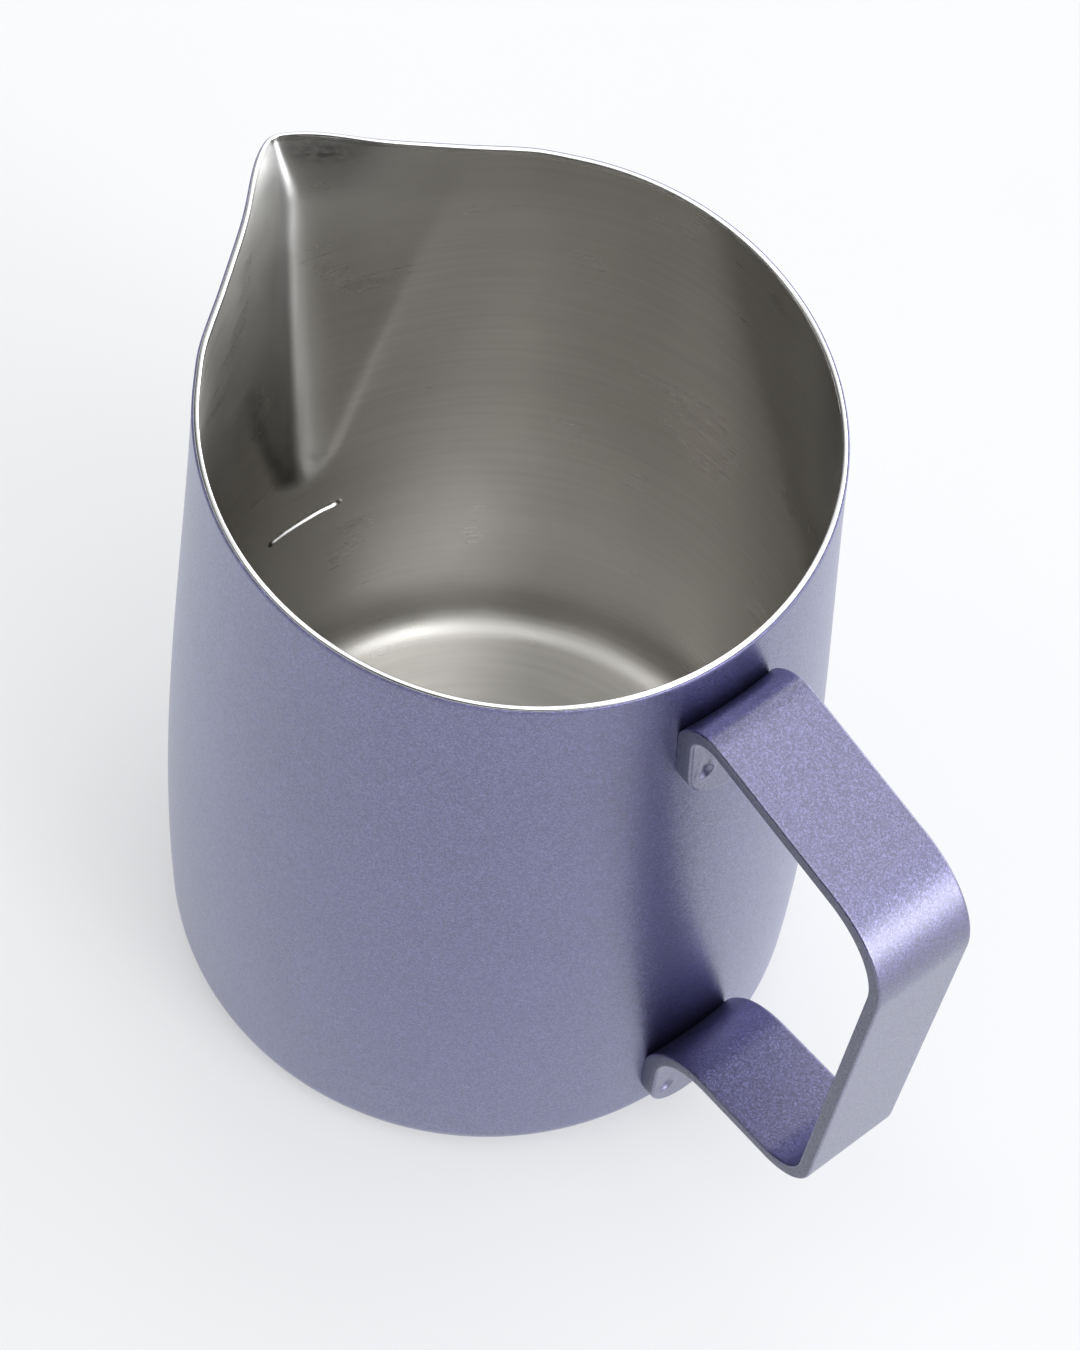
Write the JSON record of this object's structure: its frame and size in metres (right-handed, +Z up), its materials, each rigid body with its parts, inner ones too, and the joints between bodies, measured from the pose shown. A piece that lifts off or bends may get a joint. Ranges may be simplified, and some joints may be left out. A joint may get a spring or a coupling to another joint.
{
  "type": "milk frothing pitcher",
  "caption": "Steel milk frothing pitcher with a coloured satin coat outside, a sharp pressed pouring spout, a bare rim and a flat bent strap handle.",
  "frame": {"origin": "centre of the flat base, on the surface the pitcher stands on", "axes": "+Z up, +X towards the handle, -X towards the spout, symmetric about the XZ plane"},
  "size_m": [0.1277, 0.0886, 0.117],
  "materials": {
    "brushed_steel": "fine circumferential brushing inside, smooth bare edge at the rim",
    "lavender_coat": "satin metallic coat with a fine sparkling grain",
    "weld_metal": "plain fused steel, hidden inside the joint"
  },
  "bodies": {
    "root": {"pitcher_body": "brushed_steel", "body_coating": "lavender_coat", "handle_strap": "lavender_coat", "upper_weld_nuggets": "weld_metal", "lower_weld_nuggets": "weld_metal"}
  },
  "joints": []
}
